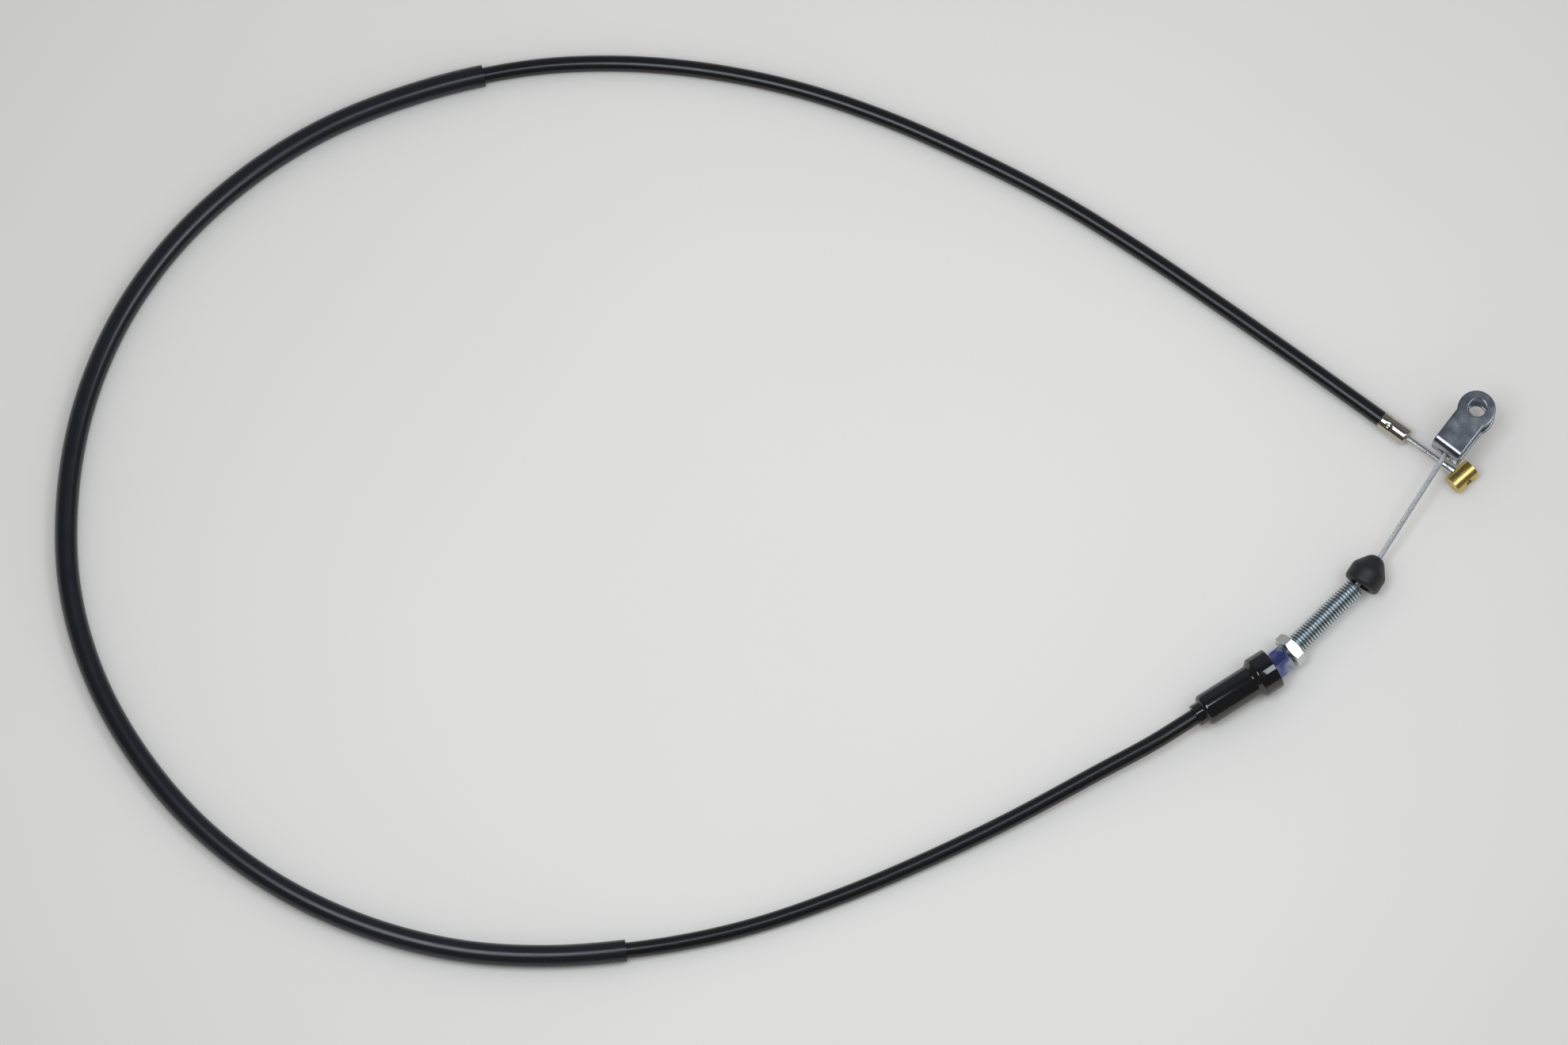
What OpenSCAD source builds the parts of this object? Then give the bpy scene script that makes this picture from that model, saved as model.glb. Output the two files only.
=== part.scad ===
// Motorcycle drum brake control cable, coiled once and laid flat with its two bare ends crossing.
// Millimetres, z up, underside at z = 0. The lever end lies to the upper right of the loop,
// the adjuster and the clevis to the lower right.

/* [Loop] */
// Distance across the loop between its two long runs, centre to centre
loop_width = 352; // [320:2:390]
// Distance from the back of the loop to where the lever run straightens
loop_reach = 446; // [420:2:480]

/* [Casing] */
// Outside diameter of the casing jacket
casing_d = 6.2; // [6:0.1:6.4]
// Wall of the jacket over the wire coil
jacket_wall = 0.5; // [0.4:0.05:0.6]
// Radial room between jacket, coil and liner
layer_gap = 0.1; // [0.05:0.01:0.12]
// Diameter of the stranded inner wire
wire_d = 2; // [1.6:0.1:2.1]
// Bore of the slippery liner the wire runs in
liner_bore = 2.4; // [2.3:0.05:2.5]
// Outside diameter of the guard sleeve on the back of the loop
sleeve_d = 8.5; // [8.2:0.1:9]
// Bore of the guard sleeve
sleeve_bore = 7; // [6.8:0.1:7.2]

/* [Lever end] */
// Diameter of the barrel nipple that sits in the lever
barrel_d = 7.8; // [7:0.1:8]
// Length of the barrel nipple
barrel_len = 10; // [8:0.5:11]
// Distance from the ferrule nose to the barrel axis
lever_reach = 25.5; // [22:0.5:28]
// Diameter of the plain collar behind the barrel
collar_d = 3.4; // [3:0.1:3.8]
// Bare wire between the ferrule nose and the collar
bare_wire = 15.5; // [12:0.5:17]
// Outside diameter of the lever ferrule
ferrule_d = 6.8; // [6.8:0.1:7.4]
// Length of the lever ferrule
ferrule_len = 12; // [10:1:16]
// Thickness of the closed nose of the ferrule
ferrule_nose = 0.8; // [0.6:0.1:1.2]

/* [Adjuster] */
// Width across flats of the adjuster head
hex_af = 10; // [9:0.5:10]
// Length of the adjuster head
hex_len = 12; // [11:0.5:13]
// Thread diameter of the adjuster
thread_d = 8; // [7:0.5:8.5]
// Length of the threaded shank beyond the head
thread_len = 37.8; // [30:0.2:38]
// Pitch of the adjuster thread
thread_pitch = 1.25; // [1:0.25:1.25]
// Width across flats of the lock nut
nut_af = 12; // [11:0.5:12]
// Thickness of the lock nut
nut_t = 4.2; // [3:0.2:6]
// Gap between the head and the lock nut
nut_gap = 1; // [0.5:0.1:5]
// Diameter of the hole the wire passes through in the adjuster
adjuster_bore = 3; // [2.6:0.1:4]
// Depth of the socket that takes the casing
socket_depth = 10; // [8:0.5:10]

/* [Covers] */
// Outside diameter of the long part of the rubber cover
cover_d = 12.6; // [12.2:0.1:13]
// Outside diameter of the cover mouth
mouth_d = 16.2; // [16:0.1:16.2]
// Wall of the cover
cover_wall = 0.8; // [0.6:0.05:0.8]
// Outside diameter of the cover neck
neck_d = 8.8; // [8.2:0.1:9.4]
// Outside diameter of the wire dust cap
cap_d = 14.1; // [12:0.1:14.2]
// Length of the wire dust cap
cap_len = 12.6; // [11:0.2:14]

/* [Clevis] */
// Height of the folded clevis over both ears
clevis_h = 14.6; // [14:0.2:14.6]
// Width of the clevis strip
clevis_w = 12; // [10:0.5:12]
// Thickness of the clevis sheet
sheet_t = 1.8; // [1.4:0.1:2]
// Diameter of the round eye of each ear
eye_d = 14.5; // [13:0.1:15]
// Diameter of the clevis pin hole
pin_hole_d = 6.5; // [5:0.1:8]
// Distance from the web to the pin hole
eye_reach = 20.3; // [18:0.1:22]
// Diameter of the hole in the web
web_hole_d = 5.6; // [5:0.1:6]
// Diameter of the round nipple held in the clevis
end_nipple_d = 7; // [6.4:0.1:8]
// Length of the nipple held in the clevis
end_nipple_len = 7; // [6:0.5:8]

/* [Hidden] */
$fn = 96;

BLACK = [0.07, 0.07, 0.08];
STEEL = [0.62, 0.64, 0.68];
ZINC = [0.55, 0.56, 0.66];
NICKEL = [0.70, 0.67, 0.62];
BRASS = [0.83, 0.66, 0.30];
SOLDER = [0.72, 0.73, 0.74];
LINER = [0.88, 0.86, 0.80];

// clearances shared by the fits
run_gap = 0.05;
touch = 0.1;
through = 1;

// layers of the casing, outermost first
jacket_r = casing_d / 2;
jacket_in = jacket_r - jacket_wall;
coil_r = jacket_in - layer_gap;
liner_r = liner_bore / 2 + 0.3;
coil_in = liner_r + layer_gap;
wire_r = wire_d / 2;
casing_bore_r = jacket_r + run_gap;
casing_sides = 10;

// lever end: the ferrule nose lies at lever_nose and the wire leaves it along lever_az
lever_nose = [236.4, 29.0, barrel_d / 2];
lever_az = -37;
barrel_az = 43;
lever_tail = 30;
wire_stub = 2;

// adjuster: its axis crosses the cover axis, seen from above, at adjuster_zero
adjuster_zero = [184.5, -63.9, 7.6];
adjuster_az = 45.7;
hex_back = -3.6;
hex_front = hex_back + hex_len;
thread_end = hex_front + thread_len;
nut_back = hex_front + nut_gap;
nut_front = nut_back + nut_t;
casing_stop = hex_back + socket_depth;
end_cap_d = casing_d + 0.8;
hex_turn = 22;
nut_turn = 50;

// cover: the end of its neck lies at cover_start, and its mouth rests on the floor
cover_start = [156.8, -82.05, mouth_d / 2];
cover_az = 33.5;
neck_len = 3.3;
shoulder_r = 1.8;
flare_start = 25.5;
flare_len = (mouth_d - cover_d) / 2;
cover_len = 34.6;
neck_grip = 0.2;
cover_leads = [16, 4];
casing_sag = [170.4, -74.6, 7.9];
adjuster_lead = 2.4;

// wire from the adjuster to the clevis: a slight bend inside the dust cap, then straight
wire_split = 38;
bend_lead = 8;
bend_v = thread_end + bend_lead;
web_point = [250.1, 19.35, 14.5];
clevis_az = 53;
clevis_rise = 4;
clevis_roll = 6;
eye_offset = 0.7;
ear_bend_r = 3;
nipple_seat = 0.6;
cap_back = 6.25;
cap_aside = 0.5;
cap_lift = 0.15;

// ---------- placing ----------

function ahead(start, az, rise, s) =
    start + s * [cos(rise) * cos(az), cos(rise) * sin(az), sin(rise)];
function lever_at(s) = ahead(lever_nose, lever_az, 0, s);
function adjuster_at(v) = ahead(adjuster_zero, adjuster_az, 0, v);
function cover_at(u) = ahead(cover_start, cover_az, 0, u);
function clevis_at(x) = ahead(web_point, clevis_az, clevis_rise, x);
function azimuth(d) = atan2(d.y, d.x);
function climb(d) = atan2(d.z, norm([d.x, d.y]));

wire_bend = adjuster_at(bend_v);
nipple_mid = clevis_at(sheet_t + nipple_seat + end_nipple_len / 2);
wire_dir = nipple_mid - wire_bend;
nipple_start = norm(wire_dir) - end_nipple_len / 2;

// turns local +z into the direction with this azimuth and rise, the local -x side up
module aim(start, az, rise = 0) {
    translate(start) rotate([0, 90 - rise, az]) children();
}

module at_lever() {
    aim(lever_nose, lever_az) children();
}

module at_adjuster() {
    aim(adjuster_zero, adjuster_az) children();
}

module at_cover() {
    aim(cover_start, cover_az) children();
}

// straight wire between the dust cap and the clevis, measured from its bend
function wire_at(s) = wire_bend + s * wire_dir / norm(wire_dir);

module at_wire() {
    aim(wire_bend, azimuth(wire_dir), climb(wire_dir)) children();
}

// clevis axes: x from the web toward the eye, z across the ears, leaning a little about x
module at_clevis() {
    translate(web_point) rotate([0, -clevis_rise, clevis_az]) rotate([clevis_roll, 0, 0]) children();
}

// ---------- route of the casing, lever end first ----------

loop_before = [
    [180.4, 71.0, 3.55],
    [165.1, 82.2, 3.3],
    [135.6, 103.2, 3.1],
    [105.1, 122.9, 3.1],
    [73.2, 140.0, 3.1],
    [40.3, 155.2, 3.1],
    [6.1, 167.0, 3.1],
    [-29.4, 174.3, 3.1],
    [-65.5, 176.7, 3.1],
    [-88.0, 175.3, 3.7]
];
loop_sleeve = [
    [-109.8, 171.5, 4.25],
    [-136.5, 164.1, 4.25],
    [-169.9, 150.1, 4.25],
    [-200.0, 130.1, 4.25],
    [-225.9, 104.8, 4.25],
    [-246.1, 74.8, 4.25],
    [-259.4, 41.2, 4.25],
    [-265.5, 5.5, 4.25],
    [-264.6, -30.7, 4.25],
    [-255.2, -65.6, 4.25],
    [-238.1, -97.5, 4.25],
    [-215.0, -125.3, 4.25],
    [-186.5, -147.5, 4.25],
    [-154.0, -163.5, 4.25],
    [-119.1, -172.9, 4.25],
    [-83.0, -175.1, 4.25],
    [-56.4, -173.0, 4.25]
];
loop_after = [
    [-34.0, -169.3, 3.6],
    [-11.6, -163.8, 3.1],
    [22.5, -151.8, 3.1],
    [55.7, -137.3, 3.5],
    [88.0, -121.4, 4.8],
    [119.6, -104.1, 6.7]
];
lever_straight = [lever_at(-ferrule_nose), lever_at(-14), lever_at(-30), lever_at(-45)];
cover_straight = [for (u = cover_leads) cover_at(-u), cover_at(neck_len + neck_grip)];
adjuster_straight = [adjuster_at(hex_back - adjuster_lead), adjuster_at(0), adjuster_at(casing_stop)];

// the loop opens out from its lever end when its reach or width is changed
drawn_width = 352;
drawn_reach = 446;
function opened(p) =
    let (pivot = loop_before[0].x, wide = loop_width / drawn_width, long = loop_reach / drawn_reach)
    [for (q = p) [pivot + (q.x - pivot) * long, q.y * wide, q.z]];

casing_points = concat(
    lever_straight,
    opened(loop_before),
    opened(loop_sleeve),
    opened(loop_after),
    cover_straight,
    [casing_sag],
    adjuster_straight
);

// slope of the route at point i, weighted by the two neighbouring spans
function span(p, i) = norm(p[i + 1] - p[i]);
function chord(p, i) = (p[i + 1] - p[i]) / span(p, i);
function slope(p, i) =
    i == 0 ? chord(p, 0) :
    i == len(p) - 1 ? chord(p, i - 1) :
    (chord(p, i - 1) * span(p, i) + chord(p, i) * span(p, i - 1)) / (span(p, i) + span(p, i - 1));

// point at share t of span i, on a cubic that keeps both slopes
function between(p, i, t) =
    let (h = span(p, i), t2 = t * t, t3 = t * t * t)
    (2 * t3 - 3 * t2 + 1) * p[i] + (t3 - 2 * t2 + t) * h * slope(p, i)
    + (3 * t2 - 2 * t3) * p[i + 1] + (t3 - t2) * h * slope(p, i + 1);

// rings no farther apart than the given step
function smooth(p, step) = concat(
    [for (i = [0 : len(p) - 2], n = [ceil(span(p, i) / step)], k = [0 : n - 1]) between(p, i, k / n)],
    [p[len(p) - 1]]
);

ring_step = 19;
casing_route = smooth(casing_points, ring_step);
before_sleeve = concat(lever_straight, opened(loop_before), [opened(loop_sleeve)[0]]);
sleeve_first = len(smooth(before_sleeve, ring_step)) - 1;
sleeve_count = len(smooth(opened(loop_sleeve), ring_step));
sleeve_route = [for (i = [0 : sleeve_count - 1]) casing_route[sleeve_first + i]];
core_route = concat(
    [lever_at(-lever_tail - 0.3)],
    [for (i = [2 : len(casing_route) - 1]) if (i > 3) casing_route[i]],
    [adjuster_at((casing_stop + wire_split) / 2), adjuster_at(wire_split)]
);

// ---------- swept tubes ----------

function heading(p, i) =
    let (a = p[max(i - 1, 0)], b = p[min(i + 1, len(p) - 1)])
    (b - a) / norm(b - a);
function ring(p, i, r, sides) =
    let (
        t = heading(p, i),
        side = cross(t, [0, 0, 1]) / norm(cross(t, [0, 0, 1])),
        up = cross(side, t)
    )
    [for (k = [0 : sides - 1]) p[i] + r * (side * sin(360 * k / sides) - up * cos(360 * k / sides))];

// solid bar of radius r along route p
module bar(p, r, sides) {
    last = len(p) - 1;
    polyhedron(
        points = [for (i = [0 : last]) each ring(p, i, r, sides)],
        faces = concat(
            [for (k = [1 : sides - 2]) [0, k, k + 1]],
            [for (k = [1 : sides - 2]) [last * sides, last * sides + k + 1, last * sides + k]],
            [for (i = [0 : last - 1], k = [0 : sides - 1]) each let (
                a = i * sides + k,
                b = i * sides + (k + 1) % sides
            ) [[a, a + sides, b], [b, a + sides, b + sides]]]
        ),
        convexity = 12
    );
}

// hollow tube between radii r_in and r_out along route p
module pipe(p, r_out, r_in, sides) {
    last = len(p) - 1;
    inner = len(p) * sides;
    polyhedron(
        points = concat(
            [for (i = [0 : last]) each ring(p, i, r_out, sides)],
            [for (i = [0 : last]) each ring(p, i, r_in, sides)]
        ),
        faces = concat(
            [for (i = [0 : last - 1], k = [0 : sides - 1]) each let (
                a = i * sides + k,
                b = i * sides + (k + 1) % sides,
                c = inner + a,
                d = inner + b
            ) [
                [a, a + sides, b],
                [b, a + sides, b + sides],
                [c, d, c + sides],
                [d, d + sides, c + sides]
            ]],
            [for (k = [0 : sides - 1]) each let (
                a = k,
                b = (k + 1) % sides,
                e = last * sides
            ) [
                [a, b, inner + a],
                [b, inner + b, inner + a],
                [a + e, inner + a + e, b + e],
                [b + e, inner + a + e, inner + b + e]
            ]]
        ),
        convexity = 12
    );
}

// ---------- turned and folded pieces ----------

// round piece from a list of [radius, height] corners
module turned(corners) {
    rotate_extrude() polygon(corners);
}

// hexagon bar whose corners are turned down at 30 degrees, at one end or both
module hex_bar(af, length, both) {
    corner_r = af / sqrt(3);
    flat_r = af / 2 - 0.1;
    outer_r = 2 * corner_r - flat_r;
    fall = (outer_r - flat_r) * tan(30);
    intersection() {
        cylinder(r = corner_r, h = length, $fn = 6);
        turned([
            [0, 0],
            [both ? flat_r : outer_r, 0],
            [outer_r, both ? fall : 0],
            [outer_r, length - fall],
            [flat_r, length],
            [0, length]
        ]);
    }
}

// ---------- lever end ----------

wire_hole_r = wire_r + touch;
funnel_r = 2.6;
funnel_depth = 2.6;
solder_depth = 0.8;

module barrel_body(extra = 0) {
    translate([0, 0, lever_reach])
        rotate([lever_az - barrel_az, 0, 0])
        cylinder(d = barrel_d, h = barrel_len + extra, center = true);
}

// funnel mouth of the wire hole on the far side of the barrel
module barrel_funnel() {
    translate([0, 0, lever_reach + barrel_d / 2 - funnel_depth])
        cylinder(r1 = wire_hole_r, r2 = funnel_r, h = funnel_depth);
}

module barrel_nipple() {
    color(BRASS) at_lever() difference() {
        barrel_body();
        translate([0, 0, lever_reach - barrel_d]) cylinder(r = wire_hole_r, h = 2 * barrel_d);
        barrel_funnel();
        translate([0, 0, lever_reach + barrel_d / 2]) cylinder(r = funnel_r, h = through);
    }
}

module nipple_solder() {
    start = lever_reach + barrel_d / 2 - funnel_depth;
    color(SOLDER) at_lever() difference() {
        intersection() {
            barrel_funnel();
            translate([0, 0, start]) cylinder(r = funnel_r, h = solder_depth);
        }
        cylinder(r = wire_r, h = lever_reach + barrel_d);
    }
}

module nipple_collar() {
    color(STEEL) at_lever() difference() {
        translate([0, 0, bare_wire]) cylinder(d = collar_d, h = lever_reach - bare_wire);
        translate([0, 0, bare_wire - through]) cylinder(r = wire_r, h = lever_reach);
        barrel_body(through);
    }
}

module lever_wire() {
    color(STEEL) at_lever()
        translate([0, 0, -lever_tail]) cylinder(r = wire_r, h = lever_tail + lever_reach + wire_stub);
}

module lever_ferrule() {
    outer = ferrule_d / 2;
    round_r = 0.9;
    hole = wire_r + 0.2;
    color(NICKEL) at_lever() difference() {
        union() {
            translate([0, 0, -ferrule_len]) cylinder(r = outer, h = ferrule_len - round_r);
            translate([0, 0, -round_r]) rotate_extrude() intersection() {
                union() {
                    square([outer - round_r, round_r]);
                    translate([outer - round_r, 0]) circle(round_r);
                }
                square([outer, round_r]);
            }
        }
        translate([0, 0, -ferrule_len - through])
            cylinder(r = casing_bore_r, h = ferrule_len + through - ferrule_nose);
        translate([0, 0, -2 * ferrule_nose]) cylinder(r = hole, h = 3 * ferrule_nose);
    }
}

// ---------- casing ----------

module casing_jacket() {
    color(BLACK) pipe(casing_route, jacket_r, jacket_in, casing_sides);
}

module casing_coil() {
    color(STEEL) pipe(casing_route, coil_r, coil_in, casing_sides);
}

module casing_liner() {
    color(LINER) pipe(casing_route, liner_r, liner_bore / 2, casing_sides);
}

module core_wire() {
    color(STEEL) bar(core_route, wire_r, casing_sides);
}

module guard_sleeve() {
    color(BLACK) pipe(sleeve_route, sleeve_d / 2, sleeve_bore / 2, casing_sides);
}

// ---------- adjuster ----------

module adjuster_cover() {
    body_r = cover_d / 2;
    mouth_r = mouth_d / 2;
    in_r = body_r - cover_wall;
    flare_in = flare_start + cover_wall * tan(22.5);
    color(BLACK) at_cover() difference() {
        union() {
            cylinder(d = neck_d, h = neck_len);
            translate([0, 0, neck_len]) cover_shoulder(body_r);
            translate([0, 0, neck_len + shoulder_r]) turned([
                [0, 0],
                [body_r, 0],
                [body_r, flare_start - neck_len - shoulder_r],
                [mouth_r, flare_start + flare_len - neck_len - shoulder_r],
                [mouth_r, cover_len - neck_len - shoulder_r],
                [0, cover_len - neck_len - shoulder_r]
            ]);
        }
        translate([0, 0, -through]) cylinder(r = casing_bore_r, h = cover_len + through);
        turned([
            [0, neck_len + cover_wall],
            [in_r - 1, neck_len + cover_wall],
            [in_r, neck_len + cover_wall + 1],
            [in_r, flare_in],
            [mouth_r - cover_wall, flare_in + flare_len],
            [mouth_r - cover_wall, cover_len + through],
            [0, cover_len + through]
        ]);
    }
}

// rounded shoulder between the neck and the long part of the cover
module cover_shoulder(body_r) {
    flat_r = body_r - shoulder_r;
    rotate_extrude() union() {
        square([flat_r, shoulder_r]);
        intersection() {
            translate([flat_r, shoulder_r]) circle(shoulder_r);
            square([body_r, shoulder_r]);
        }
    }
}

module casing_end_cap() {
    color(STEEL) at_adjuster() difference() {
        translate([0, 0, hex_back]) cylinder(d = end_cap_d, h = socket_depth);
        translate([0, 0, hex_back - through]) cylinder(r = casing_bore_r, h = socket_depth + 2 * through);
    }
}

// shank from the head to its chamfered tip: under the lock nut it has the thread's pitch
// diameter, and beyond the nut it stands at the outside diameter of the thread
module thread_shank() {
    tip_chamfer = 0.8;
    half_tooth = 0.325;
    crest_r = thread_d / 2;
    neck_r = crest_r - half_tooth * thread_pitch;
    rotate_extrude() polygon([
        [0, hex_front - through],
        [neck_r, hex_front - through],
        [neck_r, nut_front + touch],
        [crest_r, nut_front + touch],
        [crest_r, thread_end - tip_chamfer],
        [crest_r - tip_chamfer, thread_end],
        [0, thread_end]
    ]);
}

module adjuster_bolt() {
    color(ZINC) at_adjuster() difference() {
        union() {
            translate([0, 0, hex_back]) rotate([0, 0, hex_turn]) hex_bar(hex_af, hex_len, false);
            thread_shank();
        }
        translate([0, 0, hex_back - through])
            cylinder(d = end_cap_d + 2 * run_gap, h = socket_depth + through);
        translate([0, 0, hex_back]) cylinder(d = adjuster_bore, h = hex_len + thread_len + through);
    }
}

module lock_nut() {
    color(ZINC) at_adjuster() translate([0, 0, nut_back]) rotate([0, 0, nut_turn]) difference() {
        hex_bar(nut_af, nut_t, true);
        translate([0, 0, -through]) cylinder(d = thread_d + 2 * run_gap, h = nut_t + 2 * through);
    }
}

// ---------- dust cap and drum wire ----------

module dust_cap() {
    cap_r = cap_d / 2;
    lip = 0.9;
    straight = 6.5;
    pocket_r = 4.15;
    pocket_depth = 9;
    tip_r = 3.4;
    color(BLACK) at_wire() translate([-cap_lift, cap_aside, -cap_back]) difference() {
        turned([
            [0, 0],
            [cap_r - 0.75, 0],
            [cap_r, lip],
            [cap_r, straight],
            [tip_r, cap_len - 1],
            [tip_r - 1.5, cap_len],
            [0, cap_len]
        ]);
        translate([0, 0, -through]) cylinder(r = pocket_r, h = pocket_depth + through);
        translate([cap_lift, 0, 0]) cylinder(r = wire_r + cap_aside + touch, h = cap_len + through);
    }
}

drum_route = concat(
    [for (v = [wire_split + 0.3, thread_end, bend_v - 3, bend_v - 1.2]) adjuster_at(v)],
    [for (s = [1.2, 3, 20, 40, nipple_start + end_nipple_len - 0.8]) wire_at(s)]
);

module drum_wire() {
    color(STEEL) bar(drum_route, wire_r, 12);
}

// ---------- clevis ----------

// side outline of the fold, seen along the strip width
module fold(inset, width) {
    r = ear_bend_r - inset;
    half = clevis_h / 2 - inset;
    far = eye_reach + eye_d;
    translate([ear_bend_r, -width / 2, -half]) cube([far, width, 2 * half]);
    translate([inset, -width / 2, -half + r]) cube([far, width, 2 * half - 2 * r]);
    for (side = [-1, 1])
        translate([ear_bend_r, 0, side * (half - r)]) rotate([90, 0, 0])
            cylinder(r = r, h = width, center = true);
}

module clevis() {
    color(STEEL) at_clevis() difference() {
        intersection() {
            fold(0, 2 * eye_d);
            union() {
                translate([-through, -clevis_w / 2, -clevis_h])
                    cube([eye_reach + through, clevis_w, 2 * clevis_h]);
                translate([eye_reach - eye_offset, 0, 0])
                    cylinder(d = eye_d, h = 2 * clevis_h, center = true);
            }
        }
        fold(sheet_t, 2 * eye_d + through);
        translate([eye_reach, 0, 0]) cylinder(d = pin_hole_d, h = 2 * clevis_h, center = true);
        translate([-through, 0, 0]) rotate([0, 90, 0]) cylinder(d = web_hole_d, h = 4 * through + sheet_t);
    }
}

// funnel at the far end of the clevis nipple, where the wire is soldered in
seat_r = 2.4;
seat_depth = 1.5;

module seat_funnel() {
    translate([0, 0, nipple_start + end_nipple_len - seat_depth])
        cylinder(r1 = wire_hole_r, r2 = seat_r, h = seat_depth);
}

module clevis_nipple() {
    color(BRASS) at_wire() difference() {
        translate([0, 0, nipple_start]) cylinder(d = end_nipple_d, h = end_nipple_len);
        translate([0, 0, nipple_start - through])
            cylinder(r = wire_hole_r, h = end_nipple_len + 2 * through);
        seat_funnel();
        translate([0, 0, nipple_start + end_nipple_len]) cylinder(r = seat_r, h = through);
    }
}

module clevis_solder() {
    color(SOLDER) at_wire() difference() {
        seat_funnel();
        cylinder(r = wire_r, h = nipple_start + end_nipple_len + through);
    }
}

barrel_nipple();
nipple_solder();
nipple_collar();
lever_wire();
lever_ferrule();
casing_jacket();
casing_coil();
casing_liner();
core_wire();
guard_sleeve();
adjuster_cover();
casing_end_cap();
adjuster_bolt();
lock_nut();
dust_cap();
drum_wire();
clevis();
clevis_nipple();
clevis_solder();
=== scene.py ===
import math

import bmesh
import bpy
from mathutils import Matrix, Vector


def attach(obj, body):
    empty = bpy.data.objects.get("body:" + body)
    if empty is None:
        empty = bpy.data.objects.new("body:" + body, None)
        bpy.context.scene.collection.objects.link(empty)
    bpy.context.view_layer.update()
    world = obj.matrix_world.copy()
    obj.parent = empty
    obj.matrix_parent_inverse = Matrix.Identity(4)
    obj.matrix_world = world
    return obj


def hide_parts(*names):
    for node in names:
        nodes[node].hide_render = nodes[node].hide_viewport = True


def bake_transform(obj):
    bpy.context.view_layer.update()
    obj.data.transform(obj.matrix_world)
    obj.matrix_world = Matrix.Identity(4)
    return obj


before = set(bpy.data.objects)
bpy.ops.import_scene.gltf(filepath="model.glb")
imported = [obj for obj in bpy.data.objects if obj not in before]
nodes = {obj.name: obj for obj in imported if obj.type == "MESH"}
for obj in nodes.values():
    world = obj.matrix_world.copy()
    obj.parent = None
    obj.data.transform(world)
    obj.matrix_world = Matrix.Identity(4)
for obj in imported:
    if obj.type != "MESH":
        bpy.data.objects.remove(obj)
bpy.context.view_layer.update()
mm = 0.001


# ways to point and place things, in millimetres
def heading(azimuth, rise=0.0):
    a, r = math.radians(azimuth), math.radians(rise)
    return Vector((math.cos(r) * math.cos(a), math.cos(r) * math.sin(a), math.sin(r)))


def aim(start, direction):
    # local +z runs along the direction, local -x is the upper side, local +y the left side
    z = direction.normalized()
    y = Vector((0, 0, 1)).cross(z).normalized()
    x = y.cross(z)
    facing = Matrix((x, y, z)).transposed().to_4x4()
    return Matrix.Translation(start) @ facing


# camera first: level with the loop's long side, looking steeply down with parallel rays
view = {"target": (2.8, -3.0, 0.0), "elevation": 72.0, "distance": 2500.0, "widthSeen": 587.2}
cameraData = bpy.data.cameras.new("viewCamera")
camera = bpy.data.objects.new("viewCamera", cameraData)
bpy.context.scene.collection.objects.link(camera)
up = math.radians(view["elevation"])
towardCamera = Vector((0, -math.cos(up), math.sin(up)))
camera.location = (Vector(view["target"]) + towardCamera * view["distance"]) * mm
camera.rotation_euler = (math.radians(90) - up, 0, 0)
cameraData.type = "ORTHO"
cameraData.ortho_scale = view["widthSeen"] * mm
bpy.context.scene.camera = camera
print("camera set")


# shader fields: arithmetic on sockets
class Field:
    def __init__(self, look, socket):
        self.look = look
        self.socket = socket

    def join(self, operation, other=None, swap=False):
        pair = [self] if other is None else [other, self] if swap else [self, other]
        return self.look.add("ShaderNodeMath", {"operation": operation}, dict(enumerate(pair)))

    def __add__(self, other):
        return self.join("ADD", other)

    __radd__ = __add__

    def __sub__(self, other):
        return self.join("SUBTRACT", other)

    def __rsub__(self, other):
        return self.join("SUBTRACT", other, swap=True)

    def __mul__(self, other):
        return self.join("MULTIPLY", other)

    __rmul__ = __mul__

    def __truediv__(self, other):
        return self.join("DIVIDE", other)

    def wave(self):
        return self.join("SINE")

    def exponential(self):
        return self.join("EXPONENT")

    def bump(self, strength, distance):
        return self.look.add(
            "ShaderNodeBump", {}, {"Strength": strength, "Distance": distance, "Height": self}
        )


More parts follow.
